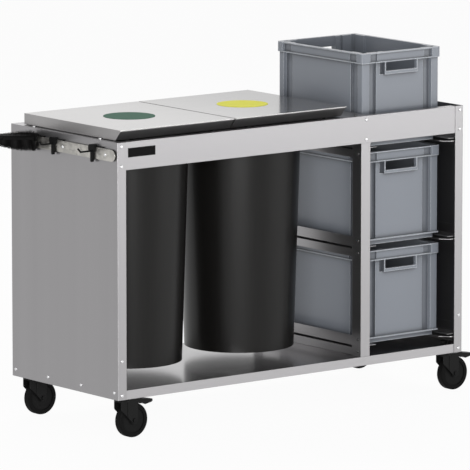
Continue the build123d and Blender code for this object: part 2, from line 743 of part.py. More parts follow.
def hinge_leaf(x, own, flap):
    """A leaf with its own knuckles, notched clear of the other leaf's knuckles and bored for the pin."""
    leaf = flap
    for span in knuckle_spans(x, 1 - own):
        notch = (span[0] - KNUCKLE_GAP, span[1] + KNUCKLE_GAP)
        leaf -= lengthwise(KNUCKLE_RADIUS + KNUCKLE_GAP, notch, HINGE_Y, HINGE_Z)
    for span in knuckle_spans(x, own):
        leaf += lengthwise(KNUCKLE_RADIUS, span, HINGE_Y, HINGE_Z)
    length = (x - HINGE_LENGTH / 2, x + HINGE_LENGTH / 2)
    return leaf - lengthwise(HINGE_PIN_RADIUS + RUNNING_GAP, length, HINGE_Y, HINGE_Z)


def hinge_frame_leaf(x):
    """The leaf that lies on the rear rail's return."""
    length = (x - HINGE_LENGTH / 2, x + HINGE_LENGTH / 2)
    flap = block(length, (HINGE_Y, HINGE_Y + HINGE_LEAF_WIDTH), (FRAME_TOP, FRAME_TOP + HINGE_LEAF))
    return hinge_leaf(x, 0, flap)


def hinge_lid_leaf(x):
    """The leaf that stands against the lid's rear wall."""
    length = (x - HINGE_LENGTH / 2, x + HINGE_LENGTH / 2)
    flap = block(length, (LID_BACK, LID_BACK + HINGE_LEAF), (HINGE_Z, HINGE_Z + HINGE_LEAF_WIDTH))
    return hinge_leaf(x, 1, flap)


def hinge_pin(x):
    """The wire pin that both leaves turn on."""
    return lengthwise(HINGE_PIN_RADIUS, (x - HINGE_LENGTH / 2, x + HINGE_LENGTH / 2), HINGE_Y, HINGE_Z)


# Plate, tool strip and hooks
def blank_plate():
    """A bare dark plate on the front rail."""
    top = FRAME_TOP - PLATE_DROP
    size = (PLATE_LEFT, PLATE_LEFT + PLATE_WIDTH)
    return block(size, (SHEET - PLATE_THICKNESS, SHEET), (top - PLATE_HEIGHT, top))


def tool_strip():
    """A flat strip with round ends that stands off the left panel."""
    outline = SlotOverall(STRIP_LENGTH, STRIP_HEIGHT)
    strip = Plane.YZ * extrude(outline, STRIP_THICKNESS)
    place = Pos(-STRIP_FACE, STRIP_FRONT + STRIP_LENGTH / 2, STRIP_TOP - STRIP_HEIGHT / 2)
    return drilled(place * strip, SHEET)


def strip_spacers():
    """Round spacers between the strip and the panel, one at each screw."""
    z = STRIP_TOP - STRIP_HEIGHT / 2
    bore = SCREW_RADIUS + SCREW_GAP
    return [
        lengthwise(SPACER_RADIUS, (-STRIP_STAND_OFF, 0), y, z) - lengthwise(bore, (-STRIP_FACE, 0), y, z)
        for y in strip_places()
    ]


def strip_clip(y):
    """A moulded clip that hooks over the strip's top edge and snaps under its lower edge."""
    front = (-CLIP_FACE, -STRIP_FACE - CLIP_GAP)
    back = (-STRIP_STAND_OFF + CLIP_GAP, -STRIP_STAND_OFF + CLIP_GAP + CLIP_BACK)
    through = (front[0], back[1])
    over = STRIP_TOP + CLIP_GAP
    top = over + CLIP_TOP
    under = STRIP_TOP - STRIP_HEIGHT - CLIP_GAP
    half = CLIP_WIDTH / 2
    leg_side = CLIP_LEG_WIDTH / 2
    middle = top - CLIP_HEIGHT / 2
    leg_length = middle - under + CLIP_LEG_DROP
    body = Pos(y, middle) * RectangleRounded(CLIP_WIDTH, CLIP_HEIGHT, CLIP_ROUND)
    leg = Pos(y, middle - leg_length / 2) * Rot(0, 0, 90) * SlotOverall(leg_length, CLIP_LEG_WIDTH)
    clip = end_on(body + leg, front[0], front[1])
    clip += end_on(body, through[0], through[1]) & block(through, (y - half, y + half), (over, top))
    flat = half - CLIP_ROUND
    clip += block(back, (y - flat, y + flat), (STRIP_TOP - CLIP_BACK_DROP, top))
    clip += block(through, (y - leg_side, y + leg_side), (under - CLIP_FOOT, under))
    tail = block((-STRIP_FACE, back[1]), (y - half - CLIP_TAIL, y), (over, over + CLIP_TAIL_HEIGHT))
    return clip + tail


def tool_hook(y):
    """A clip with a round rod that points away from the panel and turns up at its tip."""
    elbow = -CLIP_FACE - ROD_LENGTH
    bar = Polyline(
        (-CLIP_FACE + ROD_RADIUS, y, ROD_HEIGHT),
        (elbow, y, ROD_HEIGHT),
        (elbow - ROD_TIP / math.sqrt(2), y, ROD_HEIGHT + ROD_TIP / math.sqrt(2)),
    )
    start = Plane(bar @ 0, z_dir=bar % 0)
    rod = sweep(start * Circle(ROD_RADIUS), bar, transition=Transition.ROUND)
    return strip_clip(y) + rod


def outward(part):
    """A piece drawn along +X turned to point out from the hook's face, tilted up a little."""
    start = Pos(-CLIP_FACE, BRUSH_PLACE, PEG_HEIGHT)
    return start * Rot(0, BRUSH_TILT, 0) * Rot(0, 0, 180) * part


def brush_hook():
    """The clip that carries the brush on a straight peg."""
    peg = lengthwise(PEG_RADIUS, (-CLIP_THICKNESS / 2, PEG_LENGTH), 0, 0)
    return strip_clip(BRUSH_PLACE) + outward(peg)


# Hand brush, drawn along +X with the peg's axis through the origin
def brush_start():
    """Where the brush's nose lies, just clear of the clip."""
    return BRUSH_GAP + BLOCK_HEIGHT / 2 * math.tan(math.radians(BRUSH_TILT))


def block_outline(inset):
    """The block in plan: a half-round nose and a square end."""
    half = BLOCK_WIDTH / 2
    nose = Pos(brush_start() + half, 0) * Circle(half - inset)
    length = BLOCK_LENGTH - half - inset
    return nose + Pos(brush_start() + half + length / 2, 0) * Rectangle(length, BLOCK_WIDTH - 2 * inset)


def brush_body():
    """The brush's block, with a bore in its nose for the peg, and a handle that swells from a neck."""
    half = BLOCK_HEIGHT / 2
    head = upright(block_outline(0), -half, half)
    head = fillet(head.edges().group_by(Axis.Z)[-1], BLOCK_EDGE)
    end = brush_start() + BLOCK_LENGTH
    full = min(HANDLE_WIDTH, HANDLE_HEIGHT) / 2 - SEAM_GAP
    narrow = half - 2 * SEAM_GAP
    stations = (
        (end - SEAM_GAP, 0, BLOCK_WIDTH - 2 * BLOCK_EDGE, BLOCK_HEIGHT - 2 * SEAM_GAP, narrow),
        (end + NECK_LENGTH, -HANDLE_DROP, HANDLE_WIDTH, HANDLE_HEIGHT, full),
        (end + HANDLE_LENGTH, -HANDLE_DROP, HANDLE_WIDTH, HANDLE_HEIGHT, full),
    )
    sections = [
        Plane(origin=(x, 0, z), x_dir=(0, 1, 0), z_dir=(1, 0, 0)) * RectangleRounded(wide, tall, round_)
        for x, z, wide, tall, round_ in stations
    ]
    handle = loft(sections, ruled=True)
    bore = lengthwise(PEG_RADIUS + RUNNING_GAP, (0, PEG_LENGTH + BRUSH_GAP), 0, 0)
    return outward(head + handle - bore)


def bristle(x, y):
    """One bristle: a thin four-sided strand that leans outwards and ends a little unevenly."""
    centre = brush_start() + BLOCK_LENGTH / 2
    lean_x = BRISTLE_SPLAY * (x - centre) / (BLOCK_LENGTH / 2)
    lean_y = BRISTLE_SPLAY * y / (BLOCK_WIDTH / 2)
    trimmed = max(0, 1 - (brush_start() + BLOCK_LENGTH - x) / BRISTLE_TRIM_LENGTH)
    wave = math.sin(BRISTLE_RIPPLE_ALONG * x) * math.cos(BRISTLE_RIPPLE_ACROSS * y)
    length = BRISTLE_LENGTH - BRISTLE_TRIM * trimmed + BRISTLE_UNEVEN * wave
    root = -BLOCK_HEIGHT / 2 - BRISTLE_SLICE / 2
    strand = Box(BRISTLE_SIDE, BRISTLE_SIDE, length, align=HANGING)
    return Pos(x, y, root) * Rot(lean_y, -lean_x, 0) * strand


def brush_bristles():
    """All the bristles in rows, on one slice of backing under the block."""
    under = -BLOCK_HEIGHT / 2
    backing = upright(block_outline(BRISTLE_MARGIN / 2), under - BRISTLE_SLICE, under)
    half = BLOCK_WIDTH / 2
    low = brush_start() + BRISTLE_MARGIN
    high = brush_start() + BLOCK_LENGTH - BRISTLE_MARGIN
    side = half - BRISTLE_MARGIN
    strands = []
    for x in spread(low, high, BRISTLE_COLUMNS):
        for y in spread(-side, side, BRISTLE_ROWS):
            if math.hypot(min(x - brush_start() - half, 0), y) < half - BRISTLE_MARGIN / 2:
                strands.append(bristle(x, y))
    return outward(backing.fuse(*strands))


# Casters
def caster_bolts():
    """One bolt and nut through the tray for each caster."""
    bolts = []
    for x, y in CASTER_PLACES.values():
        head_foot = TRAY_TOP
        nut_top = CROWN_FOOT - TURN_GAP
        bolt = standing(BOLT_RADIUS, x, y, (nut_top - BOLT_NUT_HEIGHT, head_foot))
        hexagon = Pos(x, y) * RegularPolygon(BOLT_HEAD / 2, 6, major_radius=False)
        bolt += upright(hexagon, head_foot, head_foot + BOLT_HEAD_HEIGHT)
        bolt += upright(hexagon, nut_top - BOLT_NUT_HEIGHT, nut_top)
        bolts.append(bolt)
    return bolts


def caster_bearings():
    """The round bearing head of each caster, on a neck that reaches up to the tray inside its lip."""
    bearings = []
    for x, y in CASTER_PLACES.values():
        head = standing(BEARING_RADIUS, x, y, (FRAME_FOOT - BEARING_HEIGHT, FRAME_FOOT))
        head += standing(BEARING_NECK, x, y, (FRAME_FOOT, TRAY_TOP - SHEET))
        bearings.append(head - standing(BOLT_RADIUS + RUNNING_GAP, x, y, (0, TRAY_TOP)))
    return bearings


def leg_outline(braked):
    """A fork leg from the side: upright behind, slanted to the axle eye, with an ear for the pedal's pin."""
    top = CROWN_TOP - LEG_TOP_ROUND
    eye = Pos(CASTER_TRAIL, AXLE_HEIGHT) * Circle(LEG_EYE)
    rear = Pos(LEG_TOP_ROUND - LEG_REAR, top) * Circle(LEG_TOP_ROUND)
    heel = Pos(LEG_HEEL_ROUND - LEG_REAR, CROWN_TOP - LEG_HEEL_DROP) * Circle(LEG_HEEL_ROUND)
    front = Pos(CROWN_BRIDGE - LEG_TOP_ROUND, top) * Circle(LEG_TOP_ROUND)
    leg = make_hull(eye.edges() + rear.edges() + heel.edges() + front.edges())
    if braked:
        ear = Pos(pedal_pivot()) * Circle(PEDAL_EAR)
        leg += make_hull(ear.edges() + front.edges())
    return leg


def leg_rib(side):
    """A half-round rib that stiffens a leg's outer face, from the crown down to a round end."""
    foot = AXLE_HEIGHT + RIB_FOOT
    rib = standing(RIB_RADIUS, RIB_PLACE, side * LEG_OUTER, (foot, CROWN_FOOT))
    return rib + Pos(RIB_PLACE, side * LEG_OUTER, foot) * Sphere(RIB_RADIUS)


def pedal_pivot():
    """Where the brake pedal turns, outside the tyre, as X and Z from the swivel axis and the floor."""
    return (CASTER_TRAIL + PEDAL_PIVOT_OUT, AXLE_HEIGHT + PEDAL_PIVOT_UP)


def caster_fork(x, y, braked):
    """The swivelling fork: a crown under the bearing, two legs, and the pedal's pin where there is one."""
    crown = standing(CROWN_RADIUS, 0, 0, (CROWN_FOOT, CROWN_TOP))
    crown += block((-LEG_REAR, CROWN_BRIDGE), (-LEG_OUTER, LEG_OUTER), (CROWN_FOOT, CROWN_TOP))
    crown -= standing(BOLT_RADIUS + RUNNING_GAP, 0, 0, (0, FRAME_FOOT))
    fork = crown
    for side in (-1, 1):
        fork += side_on(leg_outline(braked), side * (LEG_INNER + LEG_OUTER) / 2, FORK_PLATE)
        fork += leg_rib(side)
    fork -= across(AXLE_RADIUS + RUNNING_GAP, CASTER_TRAIL, AXLE_HEIGHT, (-LEG_OUTER, LEG_OUTER))
    if braked:
        pivot = pedal_pivot()
        fork += across(PEDAL_PIN_RADIUS, pivot[0], pivot[1], (-LEG_OUTER, LEG_OUTER))
    return Pos(x, y, 0) * fork


def caster_axle(x, y):
    """The axle bolt with its head and nut outside the legs."""
    axle = across(AXLE_RADIUS, CASTER_TRAIL, AXLE_HEIGHT, (-LEG_OUTER, LEG_OUTER))
    hexagon = Pos(CASTER_TRAIL, AXLE_HEIGHT) * RegularPolygon(AXLE_HEAD / 2, 6, major_radius=False)
    for side in (-1, 1):
        axle += side_on(hexagon, side * (LEG_OUTER + AXLE_HEAD_HEIGHT / 2), AXLE_HEAD_HEIGHT)
    return Pos(x, y, 0) * axle


def caster_wheel(x, y):
    """The wheel's core: a flat disc with a long hub, bored to run on the axle."""
    hub = LEG_INNER - HUB_GAP
    core = across(WHEEL_CORE_RADIUS, CASTER_TRAIL, AXLE_HEIGHT, (-CORE_WIDTH / 2, CORE_WIDTH / 2))
    core += across(HUB_RADIUS, CASTER_TRAIL, AXLE_HEIGHT, (-hub, hub))
    bore = across(AXLE_RADIUS + RUNNING_GAP, CASTER_TRAIL, AXLE_HEIGHT, (-hub, hub))
    return Pos(x, y, 0) * (core - bore)


def caster_tyre(x, y):
    """The tyre, a round-edged ring on the core."""
    wide = (-TYRE_WIDTH / 2, TYRE_WIDTH / 2)
    tyre = across(WHEEL_RADIUS, CASTER_TRAIL, AXLE_HEIGHT, wide)
    tyre = fillet(tyre.edges().filter_by(GeomType.CIRCLE), TYRE_ROUND)
    return Pos(x, y, 0) * (tyre - across(WHEEL_CORE_RADIUS, CASTER_TRAIL, AXLE_HEIGHT, wide))


def brake_pedal(x, y):
    """The brake pedal: a hub on its pin, a round-ended leaf for the foot, and a cam towards the tyre."""
    px, pz = pedal_pivot()
    width = (-LEG_INNER + HUB_GAP, LEG_INNER - HUB_GAP)
    pedal = across(PEDAL_HUB_RADIUS, px, pz, width)
    pedal += across(PEDAL_CAM_RADIUS, px, pz - PEDAL_HUB_RADIUS, width)
    tip = pz - PEDAL_TIP_DROP
    side = Polyline(
        (px, pz + PEDAL_HUB_RADIUS),
        (PEDAL_REACH, tip),
        (PEDAL_REACH, tip - PEDAL_LEAF),
        (px + PEDAL_BELLY_OUT, pz - PEDAL_BELLY),
        (px, pz),
        close=True,
    )
    end = PEDAL_REACH - PEDAL_WIDTH / 2
    plan = Pos((px + end) / 2, 0) * Rectangle(end - px, PEDAL_WIDTH) + Pos(end, 0) * Circle(PEDAL_WIDTH / 2)
    leaf = upright(plan, pz - PEDAL_BELLY, pz + PEDAL_HUB_RADIUS)
    pedal += leaf & side_on(make_face(side), 0, PEDAL_WIDTH)
    bore = across(PEDAL_PIN_RADIUS + RUNNING_GAP, px, pz, (-LEG_INNER, LEG_INNER))
    return Pos(x, y, 0) * (pedal - bore)


def all_nodes():
    """Every piece of the cart by name, each a solid or a list of like solids."""
    nodes = {
        "left_side_panel": left_side_panel(),
        "right_side_panel": right_side_panel(),
        "front_top_rail": front_top_rail(),
        "rear_top_rail": rear_top_rail(),
        "base_tray": base_tray(),
        "corner_doublers": corner_doublers(),
        "front_divider_post": front_divider_post(),
        "rear_divider_post": rear_divider_post(),
        "crate_runners_left": crate_runners_left(),
        "crate_runners_right": crate_runners_right(),
        "crate_guides_left": crate_guides_left(),
        "crate_guides_right": crate_guides_right(),
        "bin_deck": bin_deck(),
        "lid_bumpers": lid_bumpers(),
        "blank_plate": blank_plate(),
        "tool_strip": tool_strip(),
        "strip_spacers": strip_spacers(),
        "dome_screws": [place * turn * screw() for place, turn in all_seats()],
        "tool_hook_front": tool_hook(HOOK_PLACES[0]),
        "tool_hook_middle": tool_hook(HOOK_PLACES[1]),
        "brush_hook": brush_hook(),
        "brush_body": brush_body(),
        "brush_bristles": brush_bristles(),
        "caster_bolts": caster_bolts(),
        "caster_bearings": caster_bearings(),
    }
    for side, x in zip(("left", "right"), LID_MIDDLES):
        nodes["bin_" + side] = hanging_bin(x)
        nodes["lid_" + side] = lid(x - LID_WIDTH / 2)
        nodes["lid_disc_" + side] = lid_disc(x)
        nodes["hinge_frame_leaf_" + side] = hinge_frame_leaf(x)
        nodes["hinge_lid_leaf_" + side] = hinge_lid_leaf(x)
        nodes["hinge_pin_" + side] = hinge_pin(x)
    one_crate = crate()
    for level, top in zip(("top", "middle", "bottom"), rack_levels()):
        nodes["crate_" + level] = Pos(BAY_MIDDLE, CRATE_MIDDLE_Y, top) * one_crate
    for corner, (x, y) in CASTER_PLACES.items():
        nodes["caster_fork_" + corner] = caster_fork(x, y, corner in BRAKED)
        nodes["caster_axle_" + corner] = caster_axle(x, y)
        nodes["caster_wheel_" + corner] = caster_wheel(x, y)
        nodes["caster_tyre_" + corner] = caster_tyre(x, y)
    for corner in BRAKED:
        nodes["brake_pedal_" + corner] = brake_pedal(*CASTER_PLACES[corner])
    return nodes


def as_one(piece):
    """A node's solids as one shape."""
    solids = []
    for shape in piece if isinstance(piece, list) else [piece]:
        solids += shape.solids()
    return solids[0] if len(solids) == 1 else Compound(children=solids)


NODES = {name: as_one(piece) for name, piece in all_nodes().items()}
BOXES = [shape.bounding_box() for shape in NODES.values()]
LEFT_REACH = min(box.min.X for box in BOXES)
RIGHT_REACH = max(box.max.X for box in BOXES)
FRONT_REACH = min(box.min.Y for box in BOXES)
REAR_REACH = max(box.max.Y for box in BOXES)
ORIGIN = Vector((LEFT_REACH + RIGHT_REACH) / 2, (FRONT_REACH + REAR_REACH) / 2, 0)

os.makedirs("parts", exist_ok=True)
for name, shape in NODES.items():
    export_step(Pos(-ORIGIN) * shape, os.path.join("parts", name + ".step"))
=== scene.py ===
"""A cleaning cart of folded steel on four casters, with two lidded bins, three crates and a tool strip."""

import bpy
import math
import numpy as np
from mathutils import Matrix, Vector


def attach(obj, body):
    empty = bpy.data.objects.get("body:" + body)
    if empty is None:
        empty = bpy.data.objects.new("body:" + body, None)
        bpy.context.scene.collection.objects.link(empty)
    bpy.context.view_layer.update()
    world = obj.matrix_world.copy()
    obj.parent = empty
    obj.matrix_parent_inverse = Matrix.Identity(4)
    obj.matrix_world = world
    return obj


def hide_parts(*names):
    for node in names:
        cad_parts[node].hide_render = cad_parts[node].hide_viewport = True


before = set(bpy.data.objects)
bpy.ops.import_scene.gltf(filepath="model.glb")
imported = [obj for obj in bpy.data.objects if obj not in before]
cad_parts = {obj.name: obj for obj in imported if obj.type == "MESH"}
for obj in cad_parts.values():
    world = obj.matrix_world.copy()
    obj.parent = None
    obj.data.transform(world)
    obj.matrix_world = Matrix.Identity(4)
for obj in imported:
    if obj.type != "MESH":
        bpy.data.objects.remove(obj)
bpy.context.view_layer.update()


# The frame's folded sheets: end panels, rails, floor tray, doublers, divider posts, crate rack and bin deck.
# Satin steel sheet, trimmed on shears and bent on a press brake, so a fine grain runs the length of each
# piece and the bent edges are slightly round. The ledges on the right show the bare ends of their sheet, and
# the ends that look to the front are painted near white as a painted highlight.
SHEET_DARK = (0.285, 0.280, 0.285, 1)
SHEET_LIGHT = (0.325, 0.318, 0.325, 1)
LIT_LIP_DARK = (0.318, 0.314, 0.318, 1)
LIT_LIP_LIGHT = (0.370, 0.361, 0.370, 1)
SHEARED_HIGHLIGHT = (0.88, 0.87, 0.86, 1)
ALONG_X = (14, 900, 900)
ALONG_Y = (900, 14, 900)
ALONG_Z = (900, 900, 14)
BEND_RADIUS = 0.0012
GRAIN_DEPTH = 0.00001


class Socket:
    """One value of a material. Arithmetic adds Math nodes, and node() adds a node of any other kind."""

    def __init__(self, tree, output):
        self.tree = tree
        self.output = output

    def node(self, kind, settings, sockets, out=0):
        """A node of this kind: first its settings, then the numbers or links of its sockets."""
        made = self.tree.nodes.new("ShaderNode" + kind)
        for name, value in settings.items():
            setattr(made, name, value)
        for name, value in sockets.items():
            if isinstance(value, Socket):
                self.tree.links.new(value.output, made.inputs[name])
            else:
                made.inputs[name].default_value = value
        return Socket(self.tree, made.outputs[out])

    def math(self, operation, first, second):
        return self.node("Math", {"operation": operation}, {0: first, 1: second})

    def __add__(self, other):
        return self.math("ADD", self, other)

    def __radd__(self, other):
        return self.math("ADD", other, self)

    def __sub__(self, other):
        """Less a number or another value. Less a tuple, it moves a place."""
        if isinstance(other, tuple):
            return self.node("VectorMath", {"operation": "SUBTRACT"}, {0: self, 1: other})
        return self.math("SUBTRACT", self, other)

    def __rsub__(self, other):
        return self.math("SUBTRACT", other, self)

    def __mul__(self, other):
        """Times a number or another value. Times a tuple, it stretches a place on each axis."""
        if isinstance(other, tuple):
            return self.node("VectorMath", {"operation": "MULTIPLY"}, {0: self, 1: other})
        return self.math("MULTIPLY", self, other)

    def __rmul__(self, other):
        return self.math("MULTIPLY", other, self)

    def blend(self, low, high):
        """From one colour to another as this value goes from 0 to 1."""
        return self.node("Mix", {"data_type": "RGBA"}, {0: self, 6: low, 7: high}, out=2)

    def between(self, low, high):
        """0 below one limit and 1 above the other, with a smooth step between."""
        limits = {"Value": self, "From Min": low, "From Max": high}
        return self.node("MapRange", {"interpolation_type": "SMOOTHSTEP"}, limits)

    def noise(self, scale, detail):
        """Soft noise from 0 to 1 at a place, with this many features to a metre."""
        return self.node("TexNoise", {}, {"Vector": self, "Scale": scale, "Detail": detail})

    def relief(self, radius, depth):
        """The surface's normal with its edges rounded to a radius, raised by this value times a depth."""
        edges = self.node("Bevel", {"samples": 4}, {"Radius": radius})
        heights = {"Height": self, "Strength": 1.0, "Distance": depth, "Normal": edges}
        return self.node("Bump", {}, heights)

    def edge(self, radius):
        """0 on flat walls, rising within a radius of an edge to 0.3 on it."""
        rounded = self.node("Bevel", {"samples": 6}, {"Radius": radius})
        flat = self.node("NewGeometry", {}, {}, out="Normal")
        return 1 - rounded.dot(flat)

    def part(self, axis):
        """One axis of a place or a direction."""
        return self.node("SeparateXYZ", {}, {0: self}, out=axis)

    def facing(self):
        """The way the surface faces in its own frame, as a direction of length 1."""
        return self.node("TexCoord", {}, {}, out="Normal")

    def dot(self, other):
        """How far two directions agree."""
        return self.node("VectorMath", {"operation": "DOT_PRODUCT"}, {0: self, 1: other}, out="Value")

    def openness(self, reach):
        """1 on open walls, and less in corners and grooves narrower than a reach."""
        settings = {"samples": 8, "only_local": True}
        return self.node("AmbientOcclusion", settings, {"Distance": reach}, out="AO")


def finish(name, fixed, varied):
    """A material: fixed numbers stand on the shader's own sockets, and varied(place) gives its links."""
    material = bpy.data.materials.new(name)
    material.use_nodes = True
    tree = material.node_tree
    shader = tree.nodes["Principled BSDF"]
    for socket, value in fixed.items():
        shader.inputs[socket].default_value = value
    place = Socket(tree, tree.nodes.new("ShaderNodeTexCoord").outputs["Object"])
    for socket, value in varied(place).items():
        tree.links.new(value.output, shader.inputs[socket])
    return material


def wear(material, *names):
    """Puts a material on solid pieces of the frame."""
    for name in names:
        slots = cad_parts[name].data.materials
        slots.clear()
        slots.append(material)


def satin_steel(name, stretch, dark, light, front_highlight=0):
    """Satin sheet with a grain drawn out along one axis and a faint cloudiness a hand wide. With the last
    argument at 1, the ends of the sheet that look to the front are painted near white as a painted
    highlight."""

    def varied(place):
        grain = (place * stretch).noise(1.0, 4.0)
        cloud = (place * tuple(0.02 * s for s in stretch)).noise(1.0, 1.0)
        tone = 0.35 * grain + 0.65 * cloud
        # Painted highlight: ends of the sheet that look to the front are painted near white.
        painted_end_highlight = front_highlight * (1 - place.facing().part("Y").between(-0.95, -0.75))
        return {
            "Base Color": painted_end_highlight.blend(tone.blend(dark, light), SHEARED_HIGHLIGHT),
            "Roughness": 0.30 + 0.10 * grain,
            "Normal": grain.relief(BEND_RADIUS, GRAIN_DEPTH),
        }

    return finish(name, {"Metallic": 1.0}, varied)


def tray_steel(place):
    """The tray's sheet, with its upper face glossier than the lip, and the lip painted a lighter tone than
    the upper face as painted light.
    """
    grain = (place * ALONG_X).noise(1.0, 4.0)
    floor_face = place.facing().part("Z").between(0.4, 0.8)
    # Painted light: the lip is painted lighter than the upper face of the same sheet.
    lip = grain.blend(LIT_LIP_DARK, LIT_LIP_LIGHT)
    top = grain.blend(SHEET_DARK, SHEET_LIGHT)
    return {
        "Base Color": floor_face.blend(lip, top),
        "Roughness": 0.30 + 0.10 * grain - 0.14 * floor_face,
        "Normal": grain.relief(BEND_RADIUS, GRAIN_DEPTH),
    }


upright_sheet = satin_steel("upright_sheet", ALONG_Z, SHEET_DARK, SHEET_LIGHT)
lengthwise_sheet = satin_steel("lengthwise_sheet", ALONG_X, SHEET_DARK, SHEET_LIGHT)
rack_sheet = satin_steel("rack_sheet", ALONG_Y, SHEET_DARK, SHEET_LIGHT)
ledge_sheet = satin_steel("ledge_sheet", ALONG_Y, SHEET_DARK, SHEET_LIGHT, front_highlight=1)
tray_sheet = finish("tray_sheet", {"Metallic": 1.0}, tray_steel)
wear(upright_sheet, "left_side_panel", "right_side_panel", "corner_doublers")
wear(upright_sheet, "front_divider_post", "rear_divider_post")
wear(lengthwise_sheet, "front_top_rail", "rear_top_rail", "bin_deck")
wear(tray_sheet, "base_tray")
wear(rack_sheet, "crate_runners_left", "crate_guides_left", "crate_guides_right")
wear(ledge_sheet, "crate_runners_right")


# Dome-headed screws that hold the sheets together.
# Bright zinc-plated steel, cold headed, so each dome is smooth with slight marks of the die. Those within
# the cart, round the crate rack's left wall, are painted dark as painted shade.
RACK_WALL = (0.25, 0.60)
RACK_DEPTH = (-0.25, 0.25)
HALF_STEP = 0.002


def grey(level):
    """A neutral colour."""
    return (level, level, level, 1)


def within(value, limits):
    """1 between two limits and 0 outside them, with a step a few millimetres wide."""
    low, high = limits
    above = value.between(low - HALF_STEP, low + HALF_STEP)
    return above * (1 - value.between(high - HALF_STEP, high + HALF_STEP))


def bright_zinc(place):
    marks = place.noise(700, 2.0)
    # Painted shade: screws round the crate rack's left wall are painted dark.
    shaded_inside = within(place.part("X"), RACK_WALL) * within(place.part("Y"), RACK_DEPTH)
    plated = marks.blend((0.62, 0.62, 0.63, 1), (0.76, 0.76, 0.77, 1))
    painted_dark = marks.blend(grey(0.07), grey(0.11))
    return {
        "Base Color": shaded_inside.blend(plated, painted_dark),
        "Roughness": 0.16 + 0.14 * marks,
        "Normal": marks.relief(0.0004, 0.00002),
    }


wear(finish("bright_zinc", {"Metallic": 0.75}, bright_zinc), "dome_screws")


# Casters: a bolt through the tray, a bearing head, a pressed fork, an axle, a moulded wheel and a tyre,
# with a brake pedal on the two at the front. All black: powder-coated steel, nylon and rubber.
def powder_coat(place):
    pebble = place.noise(1400, 2.0)
    return {
        "Base Color": pebble.blend(grey(0.004), grey(0.008)),
        "Roughness": 0.38 + 0.16 * pebble,
        "Normal": pebble.relief(0.0008, 0.00005),
    }


def moulded_nylon(place):
    flow = place.noise(90, 3.0)
    return {
        "Base Color": flow.blend(grey(0.004), grey(0.008)),
        "Roughness": 0.42 + 0.14 * flow,
        "Normal": place.noise(1600, 1.0).relief(0.0008, 0.00003),
    }


def tyre_rubber(place):
    dust = place.noise(60, 5.0)
    return {
        "Base Color": dust.blend(grey(0.0035), grey(0.008)),
        "Roughness": 0.55 + 0.2 * dust,
        "Normal": place.noise(900, 3.0).relief(0.0006, 0.00006),
    }


def blackened_steel(place):
    marks = place.noise(240, 3.0)
    return {
        "Base Color": marks.blend(grey(0.005), grey(0.013)),
        "Roughness": 0.3 + 0.2 * marks,
        "Normal": marks.relief(0.0006, 0.00003),
    }


coated = finish("powder_coat", {"Specular IOR Level": 0.10}, powder_coat)
nylon = finish("moulded_nylon", {"Specular IOR Level": 0.07}, moulded_nylon)
rubber = finish("tyre_rubber", {"Specular IOR Level": 0.05}, tyre_rubber)
blackened = finish("blackened_steel", {"Metallic": 0.6, "Specular IOR Level": 0.1}, blackened_steel)
wear(coated, "caster_bearings", "brake_pedal_front_left", "brake_pedal_front_right")
wear(blackened, "caster_bolts")
for corner in ("front_left", "front_right", "rear_left", "rear_right"):
    wear(coated, "caster_fork_" + corner)
    wear(blackened, "caster_axle_" + corner)
    wear(nylon, "caster_wheel_" + corner)
    wear(rubber, "caster_tyre_" + corner)


# Two tapered round bins that hang from the deck by their rims.
# Black polypropylene with a satin gloss, moulded, so a faint draw runs down the wall.
def bin_plastic(place):
    draw = (place * (260, 260, 3)).noise(1.0, 2.0)
    speck = place.noise(1200, 1.0)
    return {
        "Base Color": draw.blend((0.0045, 0.0043, 0.0040, 1), (0.0075, 0.0070, 0.0066, 1)),
        "Roughness": 0.27 + 0.05 * draw,
        "Normal": speck.relief(0.0015, 0.000008),
    }


wear(finish("bin_plastic", {"Specular IOR Level": 0.22}, bin_plastic), "bin_left", "bin_right")


# Two lids with an undercut front, hinged at the rear, each with a coloured disc on top.
# Stainless sheet folded to a shallow box, brushed on top. Painted shade: the faces other than the top are
# darker, the faces that look down are dark, and the top darkens towards the crates as a painted reflection
# of them. The bright front bend is a painted highlight. The disc is vinyl, stuck on the middle.
LID_FRONT = (-0.2475, -0.2430)
LID_FOLD = (0.8838, 0.8862)
TOWARDS_CRATES = (-0.40, 0.30)
LID_BEND = 0.0012
FRONT_BEND = 0.0048


def brushed_lid(place):
    grain = (place * (20, 1100, 1100)).noise(1.0, 5.0)
    cloud = (place * (0.5, 18, 18)).noise(1.0, 2.0)
    tone = 0.5 * grain + 0.5 * cloud
    up = place.facing().part("Z")
    top = up.between(0.5, 0.9)
    front = 1 - place.part("Y").between(*LID_FRONT)
    # Painted highlight: the front bend is painted near white.
    bend_highlight = front * place.part("Z").between(*LID_FOLD) * (1 - top)
    new = tone.blend((0.40, 0.39, 0.385, 1), (0.48, 0.465, 0.46, 1))
    # Painted reflection of the crates: the top is painted darker towards them.
    painted_light = tone.blend((0.19, 0.186, 0.186, 1), (0.24, 0.232, 0.232, 1))
    # Painted shade: faces other than the top are painted darker than it.
    side = tone.blend((0.30, 0.295, 0.295, 1), (0.36, 0.35, 0.35, 1))
    # Painted shade: the faces that look down are painted dark.
    painted_down_shade = tone.blend(grey(0.18), grey(0.23))
    bright = top.blend(side, place.part("X").between(*TOWARDS_CRATES).blend(new, painted_light))
    return {
        "Base Color": bend_highlight.blend(up.between(-0.5, -0.3).blend(painted_down_shade, bright), (0.86, 0.85, 0.84, 1)),
        "Roughness": 0.33 + 0.07 * grain - 0.22 * top,
        "Normal": grain.relief(LID_BEND + (FRONT_BEND - LID_BEND) * front, 0.000012),
    }


